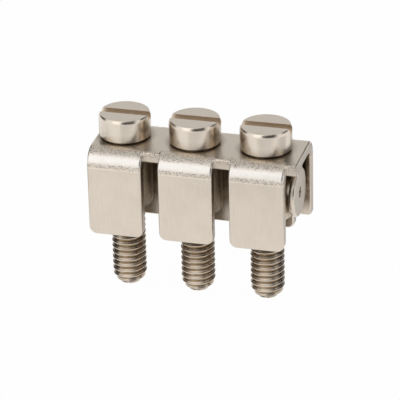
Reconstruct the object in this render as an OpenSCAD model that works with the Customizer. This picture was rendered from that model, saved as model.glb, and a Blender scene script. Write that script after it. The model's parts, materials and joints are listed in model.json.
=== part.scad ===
// Three-pole screw jumper: a folded sheet bridge with captive slotted screws.
// +X runs along the row of poles, +Y to the back wall, +Z up.
// The origin is on the middle screw's axis, level with the back wall's lower edge.

/* [Bridge] */
// distance between neighbouring poles
pole_pitch = 8.2; // [7.6:0.1:10]
// thickness of the folded sheet
sheet = 1.3; // [1:0.05:1.5]
// outer radius of both folds
fold_radius = 1.95; // [1.7:0.05:2.4]
// screw axis to the tabs' outer face
front_reach = 5; // [4.7:0.1:6]
// screw axis to the back wall's outer face
back_reach = 4.35; // [4.2:0.05:4.75]
// top of the plate above the back wall's lower edge
bridge_height = 11.35; // [10.5:0.05:13]
// width of one front tab
tab_width = 6.3; // [5.8:0.1:6.6]
// lower end of the tabs above the back wall's lower edge
tab_rise = 0.95; // [0.5:0.05:2]
// radius of the tabs' lower corners
tab_corner = 0.9; // [0.4:0.1:1.5]
// how far the plate runs on past the right-hand bush
end_run = 1.45; // [1.4:0.05:2.5]
// how far the flat ledges stand back from the tabs' outer face
ledge_back = 0.95; // [0.4:0.05:1.5]
// height of the step at both ends of the back wall
step_height = 1.85; // [1:0.05:2.5]
// screw axis of an end pole to the step
step_reach = 2.4; // [2:0.1:2.9]
// radius of the back wall's lower corners
step_corner = 0.75; // [0.3:0.05:0.9]
// radius of the back wall's outer lower corners at both ends
end_corner = 0.4; // [0.2:0.05:0.6]

/* [End ear] */
// diameter of the round ear under the plate's right-hand end
ear_d = 5.7; // [5:0.1:6]
// thickness of the ear and its neck
ear_thick = 0.75; // [0.6:0.05:0.8]
// how far the ear stands in from the plate's end
ear_inset = 0.42; // [0.2:0.01:0.5]
// how far the ear hangs below the plate
ear_drop = 0.75; // [0.4:0.05:1.2]
// width of the neck between the plate and the ear
ear_neck = 2.4; // [1.5:0.1:3.5]
// diameter of the hole in the ear
ear_hole_d = 1.3; // [0.8:0.1:2]

/* [Bushes] */
// gap between the bushes and the back wall
wall_gap = 0.1; // [0.05:0.05:0.3]
// length of a bush below the plate
bush_length = 6.7; // [5:0.1:7.5]
// width of the shoulder that carries the plate round the spigot
bush_shoulder = 0.45; // [0.2:0.05:0.6]
// how far the spigot stands out above the plate
spigot_proud = 0.1; // [0.05:0.01:0.2]
// gap all round between the screw's neck and its bush
bush_gap = 0.08; // [0.03:0.01:0.1]

/* [Screws] */
// outer diameter of the screw's thread
thread_d = 3.9; // [3.8:0.05:4]
// diameter of the thinner neck that turns in the bush and keeps the screw captive
neck_d = 3.2; // [3:0.05:3.4]
// start of the thread below the bush
thread_start = 0.25; // [0.1:0.05:1]
// end of the screw below the back wall's lower edge
thread_reach = 7.05; // [5:0.05:12]
// length of the rounding at the screw's end
tip_length = 1.5; // [0.9:0.05:2]
// radius taken off by the rounding at the screw's end
tip_inset = 0.82; // [0.4:0.02:0.9]
// diameter of the screw's head
head_d = 5.9; // [5.6:0.1:6.4]
// height of the screw's head
head_height = 2.75; // [2:0.05:3]
// height of the rounded rim round the top of the head
rim_height = 0.5; // [0.2:0.05:0.8]
// radius taken off by the rounded rim
rim_inset = 0.15; // [0.05:0.01:0.3]
// chamfer round the underside of the head
foot_chamfer = 0.12; // [0.05:0.01:0.2]
// width of the driver slot
slot_width = 1.15; // [0.8:0.05:1.3]
// depth of the driver slot
slot_depth = 0.65; // [0.5:0.05:1.2]
// gap between the head and the spigot it turns on
seat_gap = 0.02; // [0.01:0.01:0.05]

/* [Hidden] */
$fn = 96;
cut = 1;
tab_half = tab_width / 2;
left_end = -pole_pitch - tab_half;
front_face = -front_reach;
back_inner = back_reach - sheet;
plate_under = bridge_height - sheet;
channel_mid = (back_inner + front_face + sheet) / 2;
bush_d = 2 * (back_inner - wall_gap);
spigot_d = bush_d - 2 * bush_shoulder;
right_end = pole_pitch + bush_d / 2 + end_run;
step_at = pole_pitch + step_reach;
ear_z = plate_under - ear_drop - ear_d / 2;
ear_x = right_end - ear_inset - ear_thick;
bush_bore_d = neck_d + 2 * bush_gap;
bush_low = plate_under - bush_length;
thread_top = bush_low - thread_start;
spigot_top = bridge_height + spigot_proud;
head_under = spigot_top + seat_gap;
head_top = head_under + head_height;
tip_z = -thread_reach;

// Outline of an arch with two round upper corners, from below the lower edge up to top.
module arch(y0, y1, top, r, low) {
    translate([y0, low]) square([y1 - y0, top - r - low]);
    translate([y0 + r, low]) square([y1 - y0 - 2 * r, top - low]);
    for (y = [y0 + r, y1 - r]) translate([y, top - r]) circle(r = r);
}

// What is cut away to round a lower corner at (x, z); side is +1 for a right-hand corner.
module corner_cut(x, z, r, side, y0, y1) {
    difference() {
        translate([side > 0 ? x - r : x - cut, y0, z - cut]) cube([r + cut, y1 - y0, r + cut]);
        translate([x - side * r, y0 - cut, z + r]) rotate([-90, 0, 0]) cylinder(r = r, h = y1 - y0 + 2 * cut);
    }
}

// Gap in the front wall and its fold from x0 to x1.
module front_slot(x0, x1) {
    translate([x0, front_face - cut, -cut]) cube([x1 - x0, fold_radius + cut, bridge_height + 2 * cut]);
}

// What is cut away under the raised end of the back wall from x0 to x1.
module wall_step(x0, x1) {
    translate([x0, back_inner - cut, -cut]) cube([x1 - x0, sheet + 2 * cut, step_height + cut]);
}

// Flat edge of the plate that stays unfolded in a slot.
module ledge(x0, x1) {
    translate([x0, front_face + ledge_back, plate_under]) cube([x1 - x0, fold_radius - ledge_back, sheet]);
}

module folded_sheet() {
    translate([left_end, 0, 0]) rotate([90, 0, 90]) linear_extrude(right_end - left_end)
        difference() {
            arch(front_face, back_reach, bridge_height, fold_radius, 0);
            arch(front_face + sheet, back_inner, plate_under, fold_radius - sheet, -cut);
        }
}

module bridge() {
    color([0.74, 0.72, 0.68]) difference() {
        union() {
            difference() {
                folded_sheet();
                for (i = [-1, 0]) front_slot(i * pole_pitch + tab_half, (i + 1) * pole_pitch - tab_half);
                front_slot(pole_pitch + tab_half, right_end + cut);
                translate([left_end - cut, front_face - cut, -cut])
                    cube([right_end - left_end + 2 * cut, sheet + 2 * cut, tab_rise + cut]);
                for (i = [-1:1], side = [-1, 1])
                    corner_cut(i * pole_pitch + side * tab_half, tab_rise, tab_corner, side,
                        front_face - cut, front_face + sheet + cut);
                wall_step(step_at, right_end + cut);
                wall_step(left_end - cut, -step_at);
                for (side = [-1, 1])
                    corner_cut(side * step_at, 0, step_corner, side, back_inner - cut, back_reach + cut);
                corner_cut(left_end, step_height, end_corner, -1, back_inner - cut, back_reach + cut);
                corner_cut(right_end, step_height, end_corner, 1, back_inner - cut, back_reach + cut);
            }
            for (i = [-1, 0]) ledge(i * pole_pitch + tab_half, (i + 1) * pole_pitch - tab_half);
            ledge(pole_pitch + tab_half, right_end);
            translate([ear_x, channel_mid, ear_z]) rotate([0, 90, 0]) cylinder(d = ear_d, h = ear_thick);
            translate([ear_x, channel_mid - ear_neck / 2, ear_z])
                cube([ear_thick, ear_neck, plate_under + sheet / 2 - ear_z]);
        }
        for (i = [-1:1])
            translate([i * pole_pitch, 0, plate_under - cut / 2]) cylinder(d = spigot_d, h = sheet + cut);
        translate([ear_x - cut / 4, channel_mid, ear_z]) rotate([0, 90, 0])
            cylinder(d = ear_hole_d, h = ear_thick + cut / 2);
    }
}

// Spacer bush of pole i, pressed into the plate from below.
module bush(i) {
    color([0.55, 0.5, 0.44]) translate([i * pole_pitch, 0, 0]) difference() {
        union() {
            translate([0, 0, bush_low]) cylinder(d = bush_d, h = bush_length);
            translate([0, 0, plate_under]) cylinder(d = spigot_d, h = spigot_top - plate_under);
        }
        translate([0, 0, bush_low - cut]) cylinder(d = bush_bore_d, h = spigot_top - bush_low + 2 * cut);
    }
}

// What is turned off the end z of a rod of radius r to leave an arc; up is +1 at an upper end.
module rounding(r, z, length, inset, up) {
    arc = (pow(length, 2) + pow(inset, 2)) / (2 * inset);
    difference() {
        translate([r - inset, up > 0 ? z - length : z - cut]) square([inset + cut, length + cut]);
        translate([r - arc, z - up * length]) circle(r = arc);
    }
}

// Half of the screw's lengthwise section, with arcs at the thread's end and round the head.
module screw_section() {
    difference() {
        polygon([
            [0, tip_z],
            [thread_d / 2, tip_z],
            [thread_d / 2, thread_top],
            [neck_d / 2, thread_top],
            [neck_d / 2, head_under],
            [head_d / 2 - foot_chamfer, head_under],
            [head_d / 2, head_under + foot_chamfer],
            [head_d / 2, head_top],
            [0, head_top]
        ]);
        rounding(thread_d / 2, tip_z, tip_length, tip_inset, -1);
        rounding(head_d / 2, head_top, rim_height, rim_inset, 1);
    }
}

// Slotted cheese-head screw of pole i.
module screw(i) {
    color([0.78, 0.75, 0.7]) translate([i * pole_pitch, 0, 0]) difference() {
        rotate_extrude() screw_section();
        translate([-head_d / 2 - cut, -slot_width / 2, head_top - slot_depth])
            cube([head_d + 2 * cut, slot_width, slot_depth + cut]);
    }
}

bridge();
bush(-1);  // bush_1
bush(0);  // bush_2
bush(1);  // bush_3
screw(-1);  // screw_1
screw(0);  // screw_2
screw(1);  // screw_3
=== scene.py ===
# %% [markdown]
# A screw jumper joins neighbouring screw terminals. One folded, nickel-plated sheet carries the
# current, and a row of captive slotted screws clamps it down. This lesson dresses the bare frame of
# the part: the sheet gets soft punched edges, the screws get real threads, and every surface gets a
# worn nickel finish. The part's sizes are taken from the frame or written in millimetres.

# %% Load the frame
import json
import math

import bmesh
import bpy
from mathutils import Matrix, Vector

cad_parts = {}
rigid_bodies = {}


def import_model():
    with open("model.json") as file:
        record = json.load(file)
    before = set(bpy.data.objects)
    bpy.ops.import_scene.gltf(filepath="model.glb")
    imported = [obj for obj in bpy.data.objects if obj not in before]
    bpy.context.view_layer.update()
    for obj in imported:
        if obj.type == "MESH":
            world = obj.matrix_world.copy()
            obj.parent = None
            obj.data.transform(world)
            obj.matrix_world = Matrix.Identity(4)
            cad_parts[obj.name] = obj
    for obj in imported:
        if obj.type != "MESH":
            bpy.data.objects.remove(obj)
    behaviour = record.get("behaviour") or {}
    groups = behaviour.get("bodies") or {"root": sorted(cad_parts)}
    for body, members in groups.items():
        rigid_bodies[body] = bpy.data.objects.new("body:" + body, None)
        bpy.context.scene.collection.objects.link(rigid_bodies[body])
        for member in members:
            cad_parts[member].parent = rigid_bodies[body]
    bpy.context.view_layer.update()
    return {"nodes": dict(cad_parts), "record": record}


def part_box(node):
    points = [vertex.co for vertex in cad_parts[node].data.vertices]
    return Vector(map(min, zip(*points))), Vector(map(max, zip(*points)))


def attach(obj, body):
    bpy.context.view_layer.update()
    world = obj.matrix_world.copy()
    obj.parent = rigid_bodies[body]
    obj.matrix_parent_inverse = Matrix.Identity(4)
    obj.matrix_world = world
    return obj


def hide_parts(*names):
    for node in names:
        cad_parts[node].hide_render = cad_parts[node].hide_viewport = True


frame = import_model()
MM = 0.001
POLES = (1, 2, 3)
pole_x = {pole: sum(corner.x for corner in map(Vector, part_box(f"screw_{pole}"))) / 2 for pole in POLES}
bridge_low, bridge_high = (Vector(corner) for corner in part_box("bridge"))
screw_low, screw_high = (Vector(corner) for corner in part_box("screw_2"))
bush_low, bush_high = (Vector(corner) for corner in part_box("bush_2"))
pole_pitch = (pole_x[2] - pole_x[1]) / MM
print("poles at", {pole: round(x / MM, 2) for pole, x in pole_x.items()}, "mm")

# %% [markdown]
# The camera stands where the photographer stood: in front, a little to the right, and looking down.
# It could be turned by three angles, but building its axes from the line of sight shows what each
# angle does. A long lens keeps the row of screws nearly parallel. The roll is small, but without it
# the row of heads would slope a little too steeply.

# %% Set the camera
VIEW_TURN = math.radians(15.725)
VIEW_HEIGHT = math.radians(26.255)
VIEW_ROLL = math.radians(-1.353)
LENS_PIXELS = 3000
PHOTO_PIXELS = 400
PIXELS_PER_MM = 8.81
SENSOR = 36
CLIP_START = 0.01
aim = Vector((0.378, 0, 4.01)) * MM

sight = Vector((-math.sin(VIEW_TURN) * math.cos(VIEW_HEIGHT), math.cos(VIEW_TURN) * math.cos(VIEW_HEIGHT),
                -math.sin(VIEW_HEIGHT)))
level = Vector((math.cos(VIEW_TURN), math.sin(VIEW_TURN), 0))
upright = level.cross(sight)
camera_x = math.cos(VIEW_ROLL) * level + math.sin(VIEW_ROLL) * upright
camera_y = -math.sin(VIEW_ROLL) * level + math.cos(VIEW_ROLL) * upright
distance = LENS_PIXELS / PIXELS_PER_MM * MM

bpy.ops.object.camera_add()
camera = bpy.context.object
camera.data.sensor_width = SENSOR
camera.data.lens = SENSOR * LENS_PIXELS / PHOTO_PIXELS
camera.data.clip_start = CLIP_START
turned = Matrix((camera_x, camera_y, -sight)).transposed().to_4x4()
camera.matrix_world = Matrix.Translation(aim - distance * sight) @ turned
bpy.context.scene.camera = camera
bpy.context.scene.view_settings.view_transform = "Standard"
print("camera", round(distance, 3), "m away with a lens of", camera.data.lens, "mm")

# %% [markdown]
# Every finish, and every card in the studio, is a tree of shader nodes. Adding a node, setting its
# numbers and linking its sockets are three steps in the node editor, and a script that spells out
# all three is hard to read. This small class does them in one call, and its methods are named for
# what they do to a value.

# %% A helper for node trees


class Wiring:
    """Adds nodes to one node tree and links them up."""

    def __init__(self, tree):
        self.nodes = tree.nodes
        self.links = tree.links

    def feed(self, value, socket):
        if isinstance(value, bpy.types.NodeSocket):
            self.links.new(value, socket)
        else:
            socket.default_value = value

    def add(self, kind, inputs=None):
        node = self.nodes.new(kind)
        for label, value in (inputs or {}).items():
            self.feed(value, node.inputs[label])
        return node

    def math(self, operation, *values):
        node = self.nodes.new("ShaderNodeMath")
        node.operation = operation
        for value, socket in zip(values, node.inputs):
            self.feed(value, socket)
        return node.outputs[0]

    def chain(self, operation, first, *others):
        for other in others:
            first = self.math(operation, first, other)
        return first

    def times(self, *values):
        return self.chain("MULTIPLY", *values)

    def plus(self, *values):
        return self.chain("ADD", *values)

    def minus(self, first, second):
        return self.math("SUBTRACT", first, second)

    def largest(self, *values):
        return self.chain("MAXIMUM", *values)

    def remap(self, value, start, end, low=0.0, high=1.0):
        node = self.nodes.new("ShaderNodeMapRange")
        node.interpolation_type = "SMOOTHSTEP"
        limits = {"Value": value, "From Min": start, "From Max": end, "To Min": low, "To Max": high}
        for label, limit in limits.items():
            self.feed(limit, node.inputs[label])
        return node.outputs["Result"]

    def fade(self, value, start, end):
        return self.remap(value, start, end, 1, 0)

    def blend(self, factor, first, second):
        node = self.nodes.new("ShaderNodeMix")
        node.data_type = "RGBA"
        for label, value in (("Factor", factor), ("A", first), ("B", second)):
            self.feed(value, node.inputs[label])
        return node.outputs["Result"]


def new_material(name):
    material = bpy.data.materials.new(name)
    material.use_nodes = True
    material.node_tree.nodes.clear()
    return material, Wiring(material.node_tree)


print("helper ready:", Wiring.__name__)

# %% [markdown]
# Bare metal shows little of its own colour and much of what stands around it, so the studio is
# built for its reflections. The white floor is paper that keeps the part's soft shadow. It glows
# only for rays from the camera or from a mirror, which makes the background white without adding
# light to the part. The cards are plain grey planes that only mirrored rays can see.

# %% Paper for the floor and the cards
PAPER_WHITE = (0.9, 0.9, 0.9, 1)
FLOOR_GLOW = 0.98


def seen_straight_or_mirrored(wires):
    path = wires.add("ShaderNodeLightPath").outputs
    return wires.largest(path["Is Camera Ray"], path["Is Glossy Ray"], path["Is Transmission Ray"])


def floor_paper():
    material, wires = new_material("floor_paper")
    paper = wires.add("ShaderNodeBsdfDiffuse", {"Color": PAPER_WHITE})
    glow = wires.add("ShaderNodeEmission", {"Color": (1, 1, 1, 1)})
    share = wires.times(seen_straight_or_mirrored(wires), FLOOR_GLOW)
    both = wires.add("ShaderNodeMixShader")
    for value, socket in zip((share, paper.outputs[0], glow.outputs[0]), both.inputs):
        wires.feed(value, socket)
    wires.add("ShaderNodeOutputMaterial", {"Surface": both.outputs[0]})
    return material


def card_paper(name, grey):
    material, wires = new_material(name)
    glow = wires.add("ShaderNodeEmission", {"Color": (grey, grey, grey, 1)})
    wires.add("ShaderNodeOutputMaterial", {"Surface": glow.outputs[0]})
    return material


white_paper = floor_paper()
print("paper", white_paper.name)

# %% [markdown]
# A photographer moves cards about until each curve of the metal reads well, and so does this
# studio. Cards behind and above calm the flat plate and the heads' tops. Dark flags on both sides
# put the black stretches into the heads' round rims and down the sides of the threads. Grey and
# black sheets lie on the floor where the upright faces mirror it. Places and sizes are in metres.

# %% Set up the floor and the cards
FLOOR_HALF = 1.5
CARD_LIFT = 0.0005
CARD_GREY = 0.68
SHEET_GREY = 0.62
DIM_GREY = 0.12
FLAG_GREY = 0.03


def stand_card(name, grey, place, size, facing):
    bpy.ops.mesh.primitive_plane_add(size=1, location=place)
    card = bpy.context.object
    card.name = name
    card.scale = (size[0], size[1], 1)
    card.rotation_euler = (Vector(facing) - Vector(place)).to_track_quat("Z", "Y").to_euler()
    card.data.materials.append(card_paper(name, grey))
    card.visible_camera = False
    card.visible_diffuse = False
    card.visible_shadow = False


def lay_card(name, grey, place, size):
    stand_card(name, grey, (*place, screw_low.z + CARD_LIFT), size, (*place, 1))


bpy.ops.mesh.primitive_plane_add(size=2 * FLOOR_HALF, location=(0, 0, screw_low.z))
floor = bpy.context.object
floor.name = "floor"
floor.data.materials.append(white_paper)
stand_card("back_card", CARD_GREY, (-0.06, 0.25, 0.13), (0.6, 0.26), (0, 0, 0.01))
stand_card("front_flag", FLAG_GREY, (0.122, -0.218, 0.1), (0.3, 0.2), (0, 0, 0.1))
stand_card("left_flag", FLAG_GREY, (-0.237, 0.078, 0.1), (0.3, 0.2), (0, 0, 0.1))
lay_card("front_sheet", SHEET_GREY, (0.024, -0.05), (0.07, 0.022))
stand_card("high_right", FLAG_GREY, (0.25, 0, 0.36), (0.5, 0.3), (0, 0, 0.1))
stand_card("high_left", DIM_GREY, (-0.235, 0.086, 0.36), (0.35, 0.3), (0, 0, 0.1))
stand_card("top_card", CARD_GREY, (0, 0.08, 0.25), (0.6, 0.34), (0, 0.08, 0))
lay_card("left_sheet", FLAG_GREY, (-0.04, -0.003), (0.008, 0.03))
stand_card("back_flag", FLAG_GREY, (0.0845, 0.181, 0.055), (0.107, 0.09), (0, 0, 0.055))
lay_card("right_sheet", SHEET_GREY, (0.023, 0.028), (0.026, 0.036))
stand_card("low_right", FLAG_GREY, (0.246, 0.115, 0.127), (0.25, 0.16), (0, 0, 0))
lay_card("side_sheet", SHEET_GREY, (0.05, -0.002), (0.03, 0.03))
lay_card("edge_sheet", FLAG_GREY, (-0.029, 0.029), (0.012, 0.02))
cards = [obj.name for obj in bpy.data.objects if not obj.visible_camera]
print(len(cards), "cards round the floor:", cards)

# %% [markdown]
# One soft box above and in front draws the bright line along the folds. The room gives the rest of
# the light evenly from all sides. It is white to the camera and in reflections, but lights the part
# at a lower level, so that pale metal doesn't clip.

# %% Light the room
ROOM_LIGHT = 0.55
BOX_PLACE = Vector((-0.086, -0.305, 0.16))
BOX_SIZE = (0.32, 0.36)
BOX_POWER = 0.16

world = bpy.data.worlds.new("studio")
bpy.context.scene.world = world
world.use_nodes = True
wires = Wiring(world.node_tree)
room = wires.nodes["Background"]
wires.feed((1, 1, 1, 1), room.inputs["Color"])
wires.feed(wires.remap(seen_straight_or_mirrored(wires), 0, 1, ROOM_LIGHT, 1), room.inputs["Strength"])

bpy.ops.object.light_add(type="AREA", location=BOX_PLACE)
front_box = bpy.context.object
front_box.name = "front_box"
front_box.data.shape = "RECTANGLE"
front_box.data.size, front_box.data.size_y = BOX_SIZE
front_box.data.energy = BOX_POWER
front_box.rotation_euler = (aim - BOX_PLACE).to_track_quat("-Z", "Y").to_euler()
print("lamp", front_box.name, "of", BOX_POWER, "W")

# %% [markdown]
# Four effects are shared by the finishes: brushing, pitting, fine grain and darkening, which carries
# stain and also painted shade. Each could be drawn afresh in every material, but as a node group it is
# built once, and a finish only says how strong it wants the effect. All patterns are measured in
# millimetres on the part itself, so they keep their size and stay in place when a screw turns.

# %% Helpers for the effects
NOISE_MIDDLE = 0.5


def effect_group(name, inputs, output, output_kind="NodeSocketFloat"):
    group = bpy.data.node_groups.new(name, "ShaderNodeTree")
    for label, value in inputs.items():
        kind = "NodeSocketFloat" if isinstance(value, float) else "NodeSocketColor"
        socket = group.interface.new_socket(name=label, in_out="INPUT", socket_type=kind)
        socket.default_value = value
    group.interface.new_socket(name=output, in_out="OUTPUT", socket_type=output_kind)
    wires = Wiring(group)
    given = wires.add("NodeGroupInput")
    result = wires.add("NodeGroupOutput")
    return group, wires, given.outputs, result.inputs[output]


def millimetres(wires, stretch=(1, 1, 1)):
    place = wires.add("ShaderNodeTexCoord").outputs["Object"]
    scale = [axis / MM for axis in stretch]
    return wires.add("ShaderNodeMapping", {"Vector": place, "Scale": scale}).outputs["Vector"]


def noise(wires, vector, scale, detail):
    texture = wires.add("ShaderNodeTexNoise", {"Vector": vector, "Scale": scale, "Detail": detail})
    return texture.outputs["Fac"]


print("patterns are measured in units of", MM, "m")

# %% [markdown]
# Brushing is the mark of the belt that polished the sheet before it was cut: fine strokes along the
# height, and slow clouds where the belt pressed harder. An image could hold it, but two noises, one
# of them drawn out along Z, give the same look at any size.

# %% Brushing
STROKE_SCALE = 9
STROKE_DETAIL = 3
STROKES_DRAWN_OUT = (1, 1, 0.05)
STROKE_SHARE = 0.6
CLOUD_SCALE = 0.45
CLOUD_DETAIL = 2

brushing, wires, given, result = effect_group("brushing", {"Strength": 1.0}, "Value")
strokes = noise(wires, millimetres(wires, STROKES_DRAWN_OUT), STROKE_SCALE, STROKE_DETAIL)
clouds = noise(wires, millimetres(wires), CLOUD_SCALE, CLOUD_DETAIL)
streaky = wires.plus(wires.times(strokes, STROKE_SHARE), wires.times(clouds, 1 - STROKE_SHARE))
wires.feed(wires.times(wires.minus(streaky, NOISE_MIDDLE), given["Strength"]), result)
print("group", brushing.name)

# %% [markdown]
# Pitting is a scatter of small dark specks, thickest where the sheet was stretched in the fold. A
# Voronoi texture gives each cell a centre and a random colour. Cells whose colour is under the
# wanted amount get a speck, so that one number goes from clean to fully pitted. Fine grain is the
# unevenness of the plating itself, and a plain noise is enough for it.

# %% Pitting and fine grain
PIT_SCALE = 8
PIT_CORE = 0.28
PIT_RIM = 0.5
GRAIN_SCALE = 5
GRAIN_DETAIL = 2

pitting, wires, given, result = effect_group("pitting", {"Amount": 0.5}, "Mask")
cells = wires.add("ShaderNodeTexVoronoi", {"Vector": millimetres(wires), "Scale": PIT_SCALE}).outputs
chosen = wires.math("LESS_THAN", cells["Color"], given["Amount"])
wires.feed(wires.times(chosen, wires.fade(cells["Distance"], PIT_CORE, PIT_RIM)), result)

fine_grain, wires, given, result = effect_group("fine_grain", {"Strength": 1.0}, "Value")
grains = wires.minus(noise(wires, millimetres(wires), GRAIN_SCALE, GRAIN_DETAIL), NOISE_MIDDLE)
wires.feed(wires.times(grains, given["Strength"]), result)
print("groups", pitting.name, fine_grain.name)

# %% [markdown]
# Darkening mixes a clean colour with a dark brown one. The bushes use it for stain, and the sheet and
# the screws use it for stain and for painted shade and shadow. A finish gives it a clean colour, a dark
# colour and an amount, and the group breaks the amount up into soft blotches.

# %% Stain and painted shade
BLOTCH_SCALE = 1.6
BLOTCH_DETAIL = 4
BLOTCH_EDGE = (0.25, 0.6)
THIN_STAIN = 0.8

inputs = {"Clean": (1, 1, 1, 1), "Stained": (0.2, 0.15, 0.1, 1), "Amount": 0.5}
darkening, wires, given, result = effect_group("darkening", inputs, "Color", "NodeSocketColor")
blotches = noise(wires, millimetres(wires), BLOTCH_SCALE, BLOTCH_DETAIL)
patchy = wires.remap(blotches, *BLOTCH_EDGE, THIN_STAIN, 1)
uneven = wires.times(given["Amount"], patchy)
wires.feed(wires.blend(uneven, given["Clean"], given["Stained"]), result)
print("group", darkening.name)

# %% [markdown]
# The sheet isn't evenly coloured. Its inner faces are stained, with painted shade that deepens under
# the plate and fades towards the open end. Its folds are rubbed but pitted, with a painted sheen on the
# rubbed band and a painted highlight line under each fold. A painted shadow sits round the heads, and
# painted shade on the tabs' sides in the gaps. Such places could be painted by hand. Here each one is
# a mask worked out from the place on the sheet, in millimetres, so that it fits the shape exactly.
# The first masks find the inner faces and the folds.

# %% Masks for the inner faces and the folds
SHEET = 1.3
FOLD_RADIUS = 1.95
TAB_HALF = 3.15
LEDGE_BACK = 0.95
EAR_BACK = 1.22
SOFT = 0.04
END_RISE = 1.15
# The inner faces' stain with painted shade grows from the lowest to the highest of these heights.
INNER_DARK_LOW = 0.8
INNER_DARK_HIGH = 3.2
INNER_DARK_LEAST = 0.05
SKIN_END = (-0.1, 0.6)
TOP_WEAR_FROM = (0.9, 1.5)
TOP_WEAR_IN = 0.9
TOP_WEAR_REACH = 1.3
LOW_WEAR_UP = 0.12
LOW_WEAR_REACH = 0.45
# The ridge is a painted highlight line just under the fold.
RIDGE_DOWN = 0.2
RIDGE_REACH = 0.14
# The polish band is rubbed plating and a painted sheen where the fold's highlight falls.
POLISH_SHEEN_UP = 0.85
POLISH_SHEEN_REACH = 1.0
front_y = bridge_low.y / MM
back_y = bridge_high.y / MM
right_x = bridge_high.x / MM
top_z = bridge_high.z / MM
under_z = top_z - SHEET
fold_z = top_z - FOLD_RADIUS
last_pole = pole_x[3] / MM


def near(wires, value, centre, reach):
    return wires.fade(wires.math("ABSOLUTE", wires.minus(value, centre)), 0, reach)


def inner_faces(wires, x, y, z):
    tab_inner = front_y + SHEET
    wall_inner = back_y - SHEET
    behind_tabs = wires.remap(y, tab_inner - SOFT, tab_inner - SOFT / 2)
    before_wall = wires.fade(y, wall_inner + SOFT / 2, wall_inner + SOFT)
    under_plate = wires.fade(z, under_z + SOFT / 2, under_z + SOFT)
    before_ear = wires.fade(x, right_x - EAR_BACK - SOFT, right_x - EAR_BACK)
    on_wall = wires.remap(y, wall_inner - 2 * SOFT, wall_inner - SOFT)
    return wires.times(behind_tabs, before_wall, wires.largest(before_ear, on_wall), under_plate)


def hidden_stain_and_shade(wires, x, y, z):
    # Stain with painted shade on the inner faces: darker higher under the plate, lighter towards the open
    # end.
    open_end = wires.remap(x, last_pole, last_pole + TAB_HALF, 0, END_RISE)
    deeper = wires.remap(wires.minus(z, open_end), INNER_DARK_LOW, INNER_DARK_HIGH, INNER_DARK_LEAST, 1)
    return wires.times(inner_faces(wires, x, y, z), deeper)


def fold_masks(wires, y, z):
    inwards = wires.math("MINIMUM", wires.minus(y, front_y), wires.minus(back_y, y))
    on_skin = wires.fade(inwards, *(FOLD_RADIUS + end for end in SKIN_END))
    high_up = wires.remap(z, *(fold_z + height for height in TOP_WEAR_FROM))
    top_wear = wires.times(near(wires, inwards, FOLD_RADIUS - TOP_WEAR_IN, TOP_WEAR_REACH), high_up)
    worn = wires.largest(top_wear, near(wires, z, fold_z + LOW_WEAR_UP, LOW_WEAR_REACH))
    # A painted highlight line under the fold, and a band of rubbed plating with a painted sheen.
    ridge_highlight = near(wires, z, fold_z - RIDGE_DOWN, RIDGE_REACH)
    polish_and_sheen = near(wires, z, fold_z + POLISH_SHEEN_UP, POLISH_SHEEN_REACH)
    return [wires.times(mask, on_skin) for mask in (worn, ridge_highlight, polish_and_sheen)]


print("folds start", round(fold_z, 2), "mm up, the plate's underside is at", round(under_z, 2), "mm")

# %% [markdown]
# Three more masks repeat at every pole: a painted contact shadow round each screw head, the darker
# cut ends of the ledges between the tabs, along with the plate's own end, and painted shade on the
# tabs' cut sides in the gaps. Instead of one mask for each pole, the distance to the nearest pole is
# worked out first, by a remainder, and all three are built on it.

# %% Masks that repeat at the poles
RING_INNER = 2.8
RING_OUTER = 3.75
RING_DEPTH = (0.3, 0.1)
LEDGE_SOFT = 0.05
LEDGE_REACH = 0.2
LEDGE_DROP = 0.1
END_REACH = 0.15
SIDE_REACH = 0.12
SIDE_FROM = (0.15, 0.35)
SIDE_TO = (0.02, 0.1)
SIDE_TOP = (-0.2, 0.8)
ROW_END = (0.5, 0.3)


def beside_pole(wires, x):
    along = wires.math("FLOORED_MODULO", wires.plus(x, pole_pitch / 2), pole_pitch)
    return wires.math("ABSOLUTE", wires.minus(along, pole_pitch / 2))


# A painted contact shadow on the plate round each screw head.
def head_shadow_ring(wires, x, y, z):
    squares = [wires.times(side, side) for side in (beside_pole(wires, x), y)]
    away = wires.math("SQRT", wires.plus(*squares))
    on_plate = wires.remap(z, *(top_z - depth for depth in RING_DEPTH))
    return wires.times(wires.fade(away, RING_INNER, RING_OUTER), on_plate)


# The ledges' cut ends and the plate's end are darkened a little.
def cut_ends(wires, x, y, z):
    between_tabs = wires.remap(beside_pole(wires, x), TAB_HALF, TAB_HALF + LEDGE_SOFT)
    on_ledge = wires.times(between_tabs, near(wires, y, front_y + LEDGE_BACK, LEDGE_REACH))
    high_up = wires.remap(z, under_z - LEDGE_DROP, under_z)
    return wires.times(wires.largest(on_ledge, near(wires, x, right_x, END_REACH)), high_up)


# Painted shade on the tabs' cut sides inside the gaps, below the fold.
def gap_side_shade(wires, x, y, z):
    on_side = near(wires, beside_pole(wires, x), TAB_HALF, SIDE_REACH)
    behind_edge = wires.remap(y, *(front_y + depth for depth in SIDE_FROM))
    in_thickness = wires.fade(y, *(front_y + SHEET + depth for depth in SIDE_TO))
    under_fold = wires.fade(z, *(fold_z + height for height in SIDE_TOP))
    in_row = wires.fade(wires.math("ABSOLUTE", x), *(last_pole + TAB_HALF - inset for inset in ROW_END))
    return wires.times(on_side, in_thickness, in_row, behind_edge, under_fold)


print("masks repeat every", round(pole_pitch, 2), "mm")

# %% [markdown]
# The sheet is satin nickel: warm, pale and slightly rough. A single metal colour would look like
# plastic here, so the masks mix a warm and a rubbed plating, whose band on the fold is also a painted
# sheen, darken it with stain, painted shade and painted shadow, darken the cut ends a little, add a
# painted highlight line under each fold, and scatter pits along the folds. The pits and the fine
# grain also feed a bump, because light from the side finds every one.

# %% Sheet finish
SHEET_ROUGH = 0.3
SHEET_BRUSHING = 0.32
WARM_PLATING = (0.707, 0.627, 0.534, 1)
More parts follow.
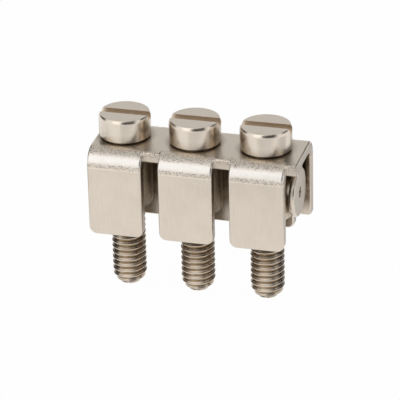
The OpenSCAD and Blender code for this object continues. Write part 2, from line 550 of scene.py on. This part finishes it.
# Rubbed plating, lighter and whiter, which on the fold also paints a sheen.
RUBBED_SHEEN_PLATING = (0.72, 0.69, 0.65, 1)
# One dark colour for stain and for painted shade.
SHEET_STAIN_AND_SHADE = (0.19, 0.14, 0.095, 1)
# Painted shadow round the heads, darker cut ends, and painted shade on the tabs' sides in the gaps.
RING_SHADOW = 0.55
CUT_DARKENING = 0.2
SIDE_SHADE = 0.75
FOLD_PITS = 0.55
STRAY_PITS = 0.02
PIT_SHADE = -0.65
# Brightness of the painted highlight line under each fold.
RIDGE_HIGHLIGHT = 0.16
GRAIN_SHADE = 0.15
STREAK_ROUGH = 0.2
PIT_ROUGH = 0.2
RELIEF_STRENGTH = 0.8
RELIEF_DEPTH = 0.02 * MM


def new_finish(name, roughness):
    material, wires = new_material(name)
    shader = wires.add("ShaderNodeBsdfPrincipled", {"Metallic": 1.0, "Roughness": roughness})
    wires.add("ShaderNodeOutputMaterial", {"Surface": shader.outputs[0]})
    return material, wires, shader.inputs


def place_in_mm(wires):
    return wires.add("ShaderNodeSeparateXYZ", {"Vector": millimetres(wires)}).outputs


def place_group(wires, group, **inputs):
    node = wires.nodes.new("ShaderNodeGroup")
    node.node_tree = group
    for label, value in inputs.items():
        wires.feed(value, node.inputs[label])
    return node.outputs[0]


def tint(wires, color, value):
    brightness = wires.plus(value, 1.0)
    return wires.add("ShaderNodeHueSaturation", {"Color": color, "Value": brightness}).outputs["Color"]


def sheet_finish():
    material, wires, surface = new_finish("satin_nickel", SHEET_ROUGH)
    x, y, z = place_in_mm(wires)
    worn, ridge_highlight, polish_and_sheen = fold_masks(wires, y, z)
    cut = cut_ends(wires, x, y, z)
    # Painted contact shadow round the heads and painted shade on the gap sides.
    ring_shadow = wires.times(head_shadow_ring(wires, x, y, z), RING_SHADOW)
    sides = wires.times(gap_side_shade(wires, x, y, z), SIDE_SHADE)
    # Stain and painted shade inside, the painted shadows and the darker cut ends all darken the plating.
    stain_and_shade = wires.largest(hidden_stain_and_shade(wires, x, y, z), ring_shadow, wires.times(cut, CUT_DARKENING), sides)
    # The rubbed band on the fold is also a painted sheen.
    plating = wires.blend(wires.times(polish_and_sheen, wires.minus(1.0, cut)), WARM_PLATING, RUBBED_SHEEN_PLATING)
    metal = place_group(wires, darkening, Clean=plating, Stained=SHEET_STAIN_AND_SHADE, Amount=stain_and_shade)
    streaks = place_group(wires, brushing, Strength=SHEET_BRUSHING)
    grains = place_group(wires, fine_grain, Strength=1.0)
    pits = place_group(wires, pitting, Amount=wires.plus(wires.times(worn, FOLD_PITS), STRAY_PITS))
    # The ridge mask adds a painted highlight line under each fold.
    shade = wires.plus(wires.times(pits, PIT_SHADE), wires.times(ridge_highlight, RIDGE_HIGHLIGHT),
                       wires.times(grains, GRAIN_SHADE))
    rough = wires.plus(wires.times(streaks, STREAK_ROUGH), SHEET_ROUGH, wires.times(pits, PIT_ROUGH))
    relief = wires.add("ShaderNodeBump", {"Strength": RELIEF_STRENGTH, "Distance": RELIEF_DEPTH,
                                          "Height": wires.minus(grains, pits)})
    wires.feed(tint(wires, tint(wires, metal, streaks), shade), surface["Base Color"])
    wires.feed(rough, surface["Roughness"])
    wires.feed(relief.outputs["Normal"], surface["Normal"])
    return material


satin_nickel = sheet_finish()
print("finish", satin_nickel.name)

# %% [markdown]
# The screws come from a lathe, so they are brighter than the sheet. The thread is stained throughout,
# and painted shade darkens it towards the roots of the grooves. The driver slot is evenly darker, and
# painted shade fades up the side of the head from its foot. How deep a point lies is written on the
# mesh later, as an attribute, which follows the helix better than any position could. Bands painted
# lighter and darker along the same depth stand in for the thin bright lines on the thread's flanks.

# %% Screw finish
SCREW_ROUGH = 0.26
SCREW_BRUSHING = 0.15
SCREW_CLEAN = (0.745, 0.665, 0.57, 1)
# One dark colour for stain and for painted shade.
SCREW_STAIN_AND_SHADE = (0.22, 0.145, 0.075, 1)
THREAD_SOFT = 0.1
HEAD_PITS = 0.8
SCREW_PIT_SHADE = -0.3
SCREW_PIT_ROUGH = 0.15
# Painted light and dark bands along the thread's depth, standing in for bright lines on the flanks.
PAINTED_BAND_WAVES = 14
PAINTED_BAND_SHADE = 0.3
THREAD_ROUGH = 0.04


def screw_finish():
    material, wires, surface = new_finish("bright_nickel", SCREW_ROUGH)
    # The attribute carries stain and painted shade.
    depth = wires.add("ShaderNodeAttribute")
    depth.attribute_name = "screw_stain_and_shade"
    screw_stain_and_shade = depth.outputs["Fac"]
    z = place_in_mm(wires)["Z"]
    under_bush = bush_low.z / MM
    threaded = wires.fade(z, under_bush - THREAD_SOFT, under_bush)
    on_head = wires.remap(z, under_bush - THREAD_SOFT, under_bush, 0, HEAD_PITS)
    metal = place_group(wires, darkening, Clean=SCREW_CLEAN, Stained=SCREW_STAIN_AND_SHADE, Amount=screw_stain_and_shade)
    streaks = place_group(wires, brushing, Strength=SCREW_BRUSHING)
    pits = place_group(wires, pitting, Amount=wires.plus(wires.times(screw_stain_and_shade, on_head), STRAY_PITS))
    # Painted highlight and shade bands along the groove's depth.
    painted_bands = wires.times(wires.math("SINE", wires.times(screw_stain_and_shade, PAINTED_BAND_WAVES)), threaded, PAINTED_BAND_SHADE)
    shade = wires.plus(wires.times(pits, SCREW_PIT_SHADE), painted_bands)
    rough = wires.plus(wires.times(threaded, THREAD_ROUGH), SCREW_ROUGH, wires.times(pits, SCREW_PIT_ROUGH))
    wires.feed(tint(wires, tint(wires, metal, streaks), shade), surface["Base Color"])
    wires.feed(rough, surface["Roughness"])
    return material


bright_nickel = screw_finish()
print("finish", bright_nickel.name)

# %% [markdown]
# The bushes are only seen in the gaps and at the ends. They were tumbled and never polished, so the
# grain is strong, the specks are few, and the metal is duller than the sheet and the screws.

# %% Bush finish
BUSH_ROUGH = 0.42
BUSH_BRUSHING = 0.4
BUSH_GRAIN = 0.9
BUSH_CLEAN = (0.74, 0.66, 0.55, 1)
BUSH_STAIN = (0.24, 0.18, 0.12, 1)
BUSH_STAINED = 0.18
BUSH_PITS = 0.2
BUSH_PIT_SHADE = -0.3


def bush_finish():
    material, wires, surface = new_finish("dull_bush", BUSH_ROUGH)
    metal = place_group(wires, darkening, Clean=BUSH_CLEAN, Stained=BUSH_STAIN, Amount=BUSH_STAINED)
    streaks = place_group(wires, brushing, Strength=BUSH_BRUSHING)
    grains = place_group(wires, fine_grain, Strength=BUSH_GRAIN)
    pits = place_group(wires, pitting, Amount=BUSH_PITS)
    shade = wires.plus(wires.times(pits, BUSH_PIT_SHADE), grains)
    wires.feed(tint(wires, tint(wires, metal, streaks), shade), surface["Base Color"])
    wires.feed(wires.plus(streaks, BUSH_ROUGH), surface["Roughness"])
    return material


dull_bush = bush_finish()
print("finish", dull_bush.name)

# %% [markdown]
# The sheet and the bushes already have the right shape in the frame, but every edge there is razor
# sharp, and a punched and tumbled edge is a little round and catches the light. Modelling them again
# would risk their sizes, so a copy of the frame's mesh is cleaned of its loose triangles instead.

# %% Copy a node of the frame
WELD = 0.002 * MM
FLAT = math.radians(1.5)


def only(obj):
    bpy.ops.object.select_all(action="DESELECT")
    obj.select_set(True)
    bpy.context.view_layer.objects.active = obj


def edit_all(obj):
    only(obj)
    bpy.ops.object.mode_set(mode="EDIT")
    bpy.ops.mesh.select_all(action="SELECT")


def clean_copy(node, name):
    only(frame["nodes"][node])
    bpy.ops.object.duplicate()
    piece = bpy.context.object
    piece.name = name
    piece.data.materials.clear()
    edit_all(piece)
    bpy.ops.mesh.remove_doubles(threshold=WELD)
    bpy.ops.mesh.dissolve_limited(angle_limit=FLAT)
    bpy.ops.object.mode_set(mode="OBJECT")
    bpy.ops.object.shade_smooth()
    return piece


bridge_piece = clean_copy("bridge", "bridge_sheet")
print("sheet starts with", len(bridge_piece.data.polygons), "faces")

# %% [markdown]
# The sides of the tabs run on round the fold and meet the flat ledges there. A bevel would fold those
# many-cornered side faces over themselves, so they are sliced first: once just under the fold, and
# then along the fold's radii, through the corners that lie above the ledge.

# %% Slice the sides of the tabs
EDGE_ROUND = 0.25 * MM
SIDE_CLOSE = 0.02
ARC_CLOSE = 0.01
CUT_BEYOND = 1.2
FOLD_TURN = 90
LAST_CUT = FOLD_TURN - 1
fold_start = bridge_high.z - FOLD_RADIUS * MM
past_left_end = bridge_low.x + MM


def beside_nearest_pole(place):
    return abs((place.x / MM + pole_pitch / 2) % pole_pitch - pole_pitch / 2)


def on_tab_side(place):
    return abs(beside_nearest_pole(place) - TAB_HALF) < SIDE_CLOSE and place.x > past_left_end


def round_the_fold(place):
    before = (bridge_low.y - place.y) / MM + FOLD_RADIUS
    above = (place.z - fold_start) / MM
    return math.hypot(before, above), math.degrees(math.atan2(above, before))


def slicing_planes(piece):
    ledge_corner = FOLD_RADIUS - LEDGE_BACK - CUT_BEYOND * EDGE_ROUND / MM
    first_cut = math.degrees(math.atan2(FOLD_RADIUS, ledge_corner))
    corners = {}
    for vertex in piece.data.vertices:
        radius, angle = round_the_fold(vertex.co)
        on_arc = on_tab_side(vertex.co) and abs(radius - FOLD_RADIUS) < ARC_CLOSE
        if on_arc and first_cut < angle < LAST_CUT:
            corners[round(angle)] = math.radians(angle)
    fold_axis = Vector((0, bridge_low.y + FOLD_RADIUS * MM, fold_start))
    planes = [(fold_axis - Vector((0, 0, 2 * EDGE_ROUND)), (0, 0, 1))]
    return planes + [(fold_axis, (0, math.sin(angle), math.cos(angle))) for angle in corners.values()]


def slice_tab_sides(piece, planes):
    edit_all(piece)
    bpy.ops.mesh.select_mode(type="FACE")
    for point, normal in planes:
        bpy.ops.object.mode_set(mode="OBJECT")
        for face in piece.data.polygons:
            face.select = on_tab_side(face.center) and face.center.y < bridge_low.y + FOLD_RADIUS * MM
        bpy.ops.object.mode_set(mode="EDIT")
        bpy.ops.mesh.bisect(plane_co=point, plane_no=normal, threshold=WELD)
    bpy.ops.mesh.select_mode(type="VERT")
    bpy.ops.object.mode_set(mode="OBJECT")


planes = slicing_planes(bridge_piece)
slice_tab_sides(bridge_piece, planes)
print("tab sides sliced by", len(planes), "planes, now", len(bridge_piece.data.polygons), "faces")

# %% [markdown]
# A Bevel modifier can round every edge that is sharp enough, but not every edge here should be
# round: the screw holes hide under the heads and stay sharp, the ear's small hole gets a light
# break, and the fold's side edges stop at the ledges. So each edge gets a weight for the bevel, and
# what stays sharp is marked.

# %% Choose the edges to round
SHARP = math.radians(40)
CREASE = math.radians(12)
HOLE_SHARE = 0.2
SCREW_HOLE_REACH = 2.6
EAR_HOLE_REACH = 1.1 * MM
EAR_CENTRE_BACK = 0.8
EAR_CENTRE_BELOW = 4.9
ear_centre = Vector((bridge_high.x - EAR_CENTRE_BACK * MM, (bridge_low.y + bridge_high.y) / 2,
                     bridge_high.z - EAR_CENTRE_BELOW * MM))
ledge_angle = math.degrees(math.acos(1 - LEDGE_BACK / FOLD_RADIUS))
holes_from = bridge_high.z - SHEET * MM - EDGE_ROUND


def rounding_share(place):
    if (place - ear_centre).length < EAR_HOLE_REACH:
        return HOLE_SHARE
    if math.hypot(beside_nearest_pole(place), place.y / MM) < SCREW_HOLE_REACH and place.z > holes_from:
        return 0.0
    radius, angle = round_the_fold(place)
    if not on_tab_side(place) or not 0 < angle < FOLD_TURN:
        return 1.0
    return 1.0 if radius > FOLD_RADIUS - SHEET / 2 and angle < ledge_angle else 0.0


def mark_sharp_edges(piece):
    reader = bmesh.new()
    reader.from_mesh(piece.data)
    rounded = []
    creased = []
    for edge in reader.edges:
        middle = (edge.verts[0].co + edge.verts[1].co) / 2
        outward = edge.is_convex and edge.calc_face_angle(0) > SHARP
        rounded.append(rounding_share(middle) if outward else 0.0)
        creased.append(edge.calc_face_angle(0) > CREASE and not rounded[-1])
    reader.free()
    piece.data.attributes.new("bevel_weight_edge", "FLOAT", "EDGE").data.foreach_set("value", rounded)
    piece.data.attributes.new("sharp_edge", "BOOLEAN", "EDGE").data.foreach_set("value", creased)


print("fold edges are rounded up to", round(ledge_angle, 1), "degrees")

# %% [markdown]
# The sheet's punched edges are round by a quarter of a millimetre, and the turned bushes' edges are
# only just broken. Smooth shading alone would bend the light across the large faces as well, so
# weighted normals keep those flat and leave the curve to the narrow bevel.

# %% Round the edges
BUSH_EDGE_ROUND = EDGE_ROUND / 6
BEVEL_STEPS = 3
FACE_WEIGHT = 50


def apply_modifier(obj, kind, name, **settings):
    only(obj)
    modifier = obj.modifiers.new(name, kind)
    for label, value in settings.items():
        setattr(modifier, label, value)
    bpy.ops.object.modifier_apply(modifier=modifier.name)


def soften_edges(piece, width):
    mark_sharp_edges(piece)
    apply_modifier(piece, "BEVEL", "soft_edges", width=width, segments=BEVEL_STEPS, limit_method="WEIGHT",
                   use_clamp_overlap=False)
    apply_modifier(piece, "WEIGHTED_NORMAL", "flat_faces", mode="FACE_AREA", weight=FACE_WEIGHT,
                   keep_sharp=True)


soften_edges(bridge_piece, EDGE_ROUND)
bridge_piece.data.materials.append(satin_nickel)
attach(bridge_piece, "bridge")
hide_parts("bridge")
for pole in POLES:
    bush_piece = clean_copy(f"bush_{pole}", f"bush_{pole}_turned")
    soften_edges(bush_piece, BUSH_EDGE_ROUND)
    bush_piece.data.materials.append(dull_bush)
    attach(bush_piece, "bridge")
    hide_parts(f"bush_{pole}")
print("sheet has", len(bridge_piece.data.polygons), "faces, a bush", len(bush_piece.data.polygons))

# %% [markdown]
# A thread is a groove that climbs as it turns. It could be cut from a rod, but it is simpler to draw
# one tooth from the side and sweep it round: the Screw modifier turns the outline about the axis and
# lifts it by one pitch per turn. The sweep starts below the screw's end and runs on past the thread.

# %% Sweep the thread
THREAD_PITCH = 0.7 * MM
THREAD_DEPTH = 0.3 * MM
THREAD_START = 0.25 * MM
TOOTH = ((0.0, 0.0), (0.08, 0.0), (0.36, 1.0), (0.44, 1.0), (0.94, 0.0), (1.0, 0.0))
LEAD_IN = 1.5
SPARE_TURNS = 3
TURN_STEPS = 96
FINE_WELD = 0.001 * MM
pin_mount = next(mount for mount in frame["record"]["mounts"] if mount["name"] == "thread_2")
thread_radius = pin_mount["dims"]["r_mm"] * MM
thread_end = screw_low.z
thread_top = bush_low.z - THREAD_START


def draw_outline(name, points):
    bpy.ops.object.select_all(action="DESELECT")
    bpy.ops.mesh.primitive_plane_add(size=MM, location=(0, 0, 0))
    outline = bpy.context.object
    outline.name = name
    bpy.ops.object.mode_set(mode="EDIT")
    bpy.ops.mesh.select_all(action="SELECT")
    bpy.ops.mesh.merge(type="CENTER")
    bpy.ops.transform.translate(value=points[0])
    for before, after in zip(points, points[1:]):
        bpy.ops.mesh.extrude_region_move(TRANSFORM_OT_translate={"value": after - before})
    bpy.ops.object.mode_set(mode="OBJECT")
    return outline


def tooth_point(along, height):
    start = thread_end - LEAD_IN * THREAD_PITCH
    return Vector((thread_radius - THREAD_DEPTH * (1 - height), 0, start + along * THREAD_PITCH))


thread_rod = draw_outline("thread", [tooth_point(along, height) for along, height in TOOTH])
turns = math.ceil((thread_top - thread_end) / THREAD_PITCH) + SPARE_TURNS
apply_modifier(thread_rod, "SCREW", "sweep", axis="Z", screw_offset=THREAD_PITCH, iterations=turns,
               steps=TURN_STEPS, render_steps=TURN_STEPS, use_merge_vertices=True, merge_threshold=FINE_WELD)
print("thread swept in", turns, "turns with", len(thread_rod.data.polygons), "faces")

# %% [markdown]
# The swept thread is too long at both ends. A Boolean could cut it, but it leaves ragged slivers in
# the groove. Moving the points is cleaner: what lies past an end is pressed flat onto it, and near
# the lower end every point is drawn in under an arc, which gives the screw its rounded tip.

# %% Press the thread's ends into shape
TIP_LENGTH = 1.5 * MM
TIP_INSET = 0.82 * MM
TIP_TOOTH = 0.85
tip_arc = (TIP_LENGTH ** 2 + TIP_INSET ** 2) / (2 * TIP_INSET)
neck_radius = 1.6 * MM


def tip_radius(height):
    below = max(0.0, thread_end + TIP_LENGTH - height)
    return thread_radius - tip_arc + math.sqrt(tip_arc ** 2 - below ** 2)


def tooth_left(height):
    return TIP_TOOTH + (1 - TIP_TOOTH) * min(1.0, (height - thread_end) / TIP_LENGTH)


def press_ends(rod):
    for vertex in rod.data.vertices:
        place = vertex.co
        radius = math.hypot(place.x, place.y)
        if place.z <= thread_end:
            place.z, wanted = thread_end, thread_radius - TIP_INSET
        elif place.z >= thread_top:
            place.z, wanted = thread_top, neck_radius
        else:
            wanted = tip_radius(place.z) - tooth_left(place.z) * (thread_radius - radius)
        place.x *= wanted / radius
        place.y *= wanted / radius


def close_rod(rod):
    edit_all(rod)
    bpy.ops.mesh.remove_doubles(threshold=WELD)
    bpy.ops.mesh.dissolve_degenerate(threshold=FINE_WELD)
    bpy.ops.mesh.select_all(action="DESELECT")
    bpy.ops.mesh.select_non_manifold()
    bpy.ops.mesh.fill_holes(sides=0)
    bpy.ops.mesh.select_all(action="SELECT")
    bpy.ops.mesh.normals_make_consistent(inside=False)
    bpy.ops.object.mode_set(mode="OBJECT")


press_ends(thread_rod)
close_rod(thread_rod)
print("thread has", len(thread_rod.data.polygons), "faces")

# %% [markdown]
# The head is a turned disc with a rounded rim. A cylinder with a bevel would come close, but the
# rim is part of a longer arc, so half of the head's section is drawn as an outline and turned about
# the axis, as on a lathe. The thin neck that turns in the bush is a plain cylinder.

# %% Turn the head and its neck
RIM_HEIGHT = 0.5 * MM
RIM_INSET = 0.15 * MM
RIM_STEPS = 8
HEAD_STEPS = 128
FOOT_CHAMFER = 0.12 * MM
# Height of the band of painted shade at the foot of the head.
FOOT_SHADE_HEIGHT = 1.1 * MM
SEAT_GAP = 0.02 * MM
NECK_SIDES = 64
NECK_OVERLAP = 0.1 * MM
head_radius = (screw_high.y - screw_low.y) / 2
head_under = bush_high.z + SEAT_GAP


def head_outline():
    arc = (RIM_HEIGHT ** 2 + RIM_INSET ** 2) / (2 * RIM_INSET)
    sweep = math.asin(RIM_HEIGHT / arc)
    # A side point at the top of the foot's painted shade band ends that band.
    points = [(0, head_under), (head_radius - FOOT_CHAMFER, head_under),
              (head_radius, head_under + FOOT_CHAMFER), (head_radius, head_under + FOOT_SHADE_HEIGHT)]
    for step in range(RIM_STEPS + 1):
        angle = sweep * step / RIM_STEPS
        inset = arc * (1 - math.cos(angle))
        points.append((head_radius - inset, screw_high.z - RIM_HEIGHT + arc * math.sin(angle)))
    points.append((0, screw_high.z))
    return [Vector((radius, 0, height)) for radius, height in points]


def turned_head():
    head = draw_outline("head", head_outline())
    apply_modifier(head, "SCREW", "turn", axis="Z", screw_offset=0, steps=HEAD_STEPS, render_steps=HEAD_STEPS,
                   use_merge_vertices=True, merge_threshold=FINE_WELD)
    edit_all(head)
    bpy.ops.mesh.remove_doubles(threshold=FINE_WELD)
    bpy.ops.mesh.normals_make_consistent(inside=False)
    bpy.ops.object.mode_set(mode="OBJECT")
    return head


def turned_neck():
    bpy.ops.object.select_all(action="DESELECT")
    low = thread_top - NECK_OVERLAP
    high = head_under + NECK_OVERLAP
    bpy.ops.mesh.primitive_cylinder_add(vertices=NECK_SIDES, radius=neck_radius, depth=high - low,
                                        location=(0, 0, (low + high) / 2))
    bpy.ops.object.transform_apply(location=True)
    return bpy.context.object


head = turned_head()
neck = turned_neck()
print("head", round(2 * head_radius / MM, 2), "mm across with", len(head.data.polygons), "faces")

# %% [markdown]
# The driver slot is sawn into the finished head, so it is cut last. A Boolean with a box does what
# the saw does, and a narrow bevel breaks the edges that it leaves. Points that end up on top of each
# other where the slot meets the round rim are merged, so that the mesh stays closed.

# %% Saw the slot
SLOT_WIDTH = 1.15 * MM
SLOT_DEPTH = 0.65 * MM
SAW_EDGE = 0.1 * MM
SAW_STEPS = 2
SAW_ANGLE = math.radians(50)
SAW_WELD = 0.004 * MM


def saw_slot(head):
    bpy.ops.object.select_all(action="DESELECT")
    bpy.ops.mesh.primitive_cube_add(size=1, location=(0, 0, screw_high.z))
    saw = bpy.context.object
    saw.scale = (3 * head_radius, SLOT_WIDTH, 2 * SLOT_DEPTH)
    bpy.ops.object.transform_apply(location=True, scale=True)
    apply_modifier(head, "BOOLEAN", "slot", operation="DIFFERENCE", object=saw, solver="EXACT")
    bpy.data.objects.remove(saw)
    apply_modifier(head, "BEVEL", "saw_edges", width=SAW_EDGE, segments=SAW_STEPS, limit_method="ANGLE",
                   angle_limit=SAW_ANGLE)
    edit_all(head)
    bpy.ops.mesh.remove_doubles(threshold=SAW_WELD)
    bpy.ops.mesh.dissolve_degenerate(threshold=WELD)
    bpy.ops.object.mode_set(mode="OBJECT")


saw_slot(head)
print("slotted head has", len(head.data.polygons), "faces")

# %% [markdown]
# Head, neck and thread are joined into one screw. How much each corner is darkened is then written
# as an attribute: stain deepened by painted shade with depth in the thread, evenly in the slot, and
# painted shade fading upwards from the foot of the head. Corners are marked, not points, so that the
# slot's darkening ends sharply at its edge.

# %% Join the screw and mark its stain and painted shade
# How much darker the slot is, evenly.
SLOT_DARK = 0.28
# Strength of the painted shade at the foot of the head.
FOOT_SHADE = 0.3
THREAD_STAIN = 0.2
DEPTH_CURVE = 0.7
SAWN_FACING = 0.9
SMOOTH_ANGLE = math.radians(32)


def in_slot(face):
    between = abs(face.center.y) < SLOT_WIDTH / 2 + SAW_EDGE / 4
    inside = head_under + FOOT_CHAMFER < face.center.z < screw_high.z - SAW_EDGE
    return between and inside and abs(face.normal.z) + abs(face.normal.y) > SAWN_FACING


# Stain on the thread, deepened by painted shade towards the groove's root.
def thread_stain_and_shade(place):
    depth = max(0.0, tip_radius(place.z) - math.hypot(place.x, place.y)) / THREAD_DEPTH
    return min(1.0, max(THREAD_STAIN, depth ** DEPTH_CURVE))


# The slot is evenly darker, and painted shade fades upwards from the head's foot.
def head_darkening(place, sawn):
    return SLOT_DARK if sawn else FOOT_SHADE * max(0.0, 1 - (place.z - head_under) / FOOT_SHADE_HEIGHT)


def mark_stain_and_shade(screw):
    screw_stain_and_shade = screw.data.attributes.new("screw_stain_and_shade", "FLOAT", "CORNER")
    for face in screw.data.polygons:
        sawn = in_slot(face)
        for corner in face.loop_indices:
            place = screw.data.vertices[screw.data.loops[corner].vertex_index].co
            on_thread = place.z < head_under
            screw_stain_and_shade.data[corner].value = thread_stain_and_shade(place) if on_thread else head_darkening(place, sawn)


only(thread_rod)
for part in (neck, head):
    part.select_set(True)
bpy.ops.object.join()
screw = bpy.context.object
screw.data.materials.clear()
screw.data.materials.append(bright_nickel)
mark_stain_and_shade(screw)
bpy.ops.object.shade_smooth_by_angle(angle=SMOOTH_ANGLE)
print("screw has", len(screw.data.polygons), "faces")

# %% [markdown]
# All screws are alike, so the finished one is copied to each pole. A copy's place goes into its own
# mesh, and its object stays at the origin, as a node of the frame does. Each copy rides on its own
# body, so that it can turn by itself.

# %% Set a screw at each pole
for pole in POLES:
    only(screw)
    bpy.ops.object.duplicate()
    copy = bpy.context.object
    copy.name = f"screw_{pole}_turned"
    copy.data.transform(Matrix.Translation((pole_x[pole], 0, 0)))
    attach(copy, f"screw_{pole}")
    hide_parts(f"screw_{pole}")
bpy.data.objects.remove(screw)
print("screws set at", len(POLES), "poles")
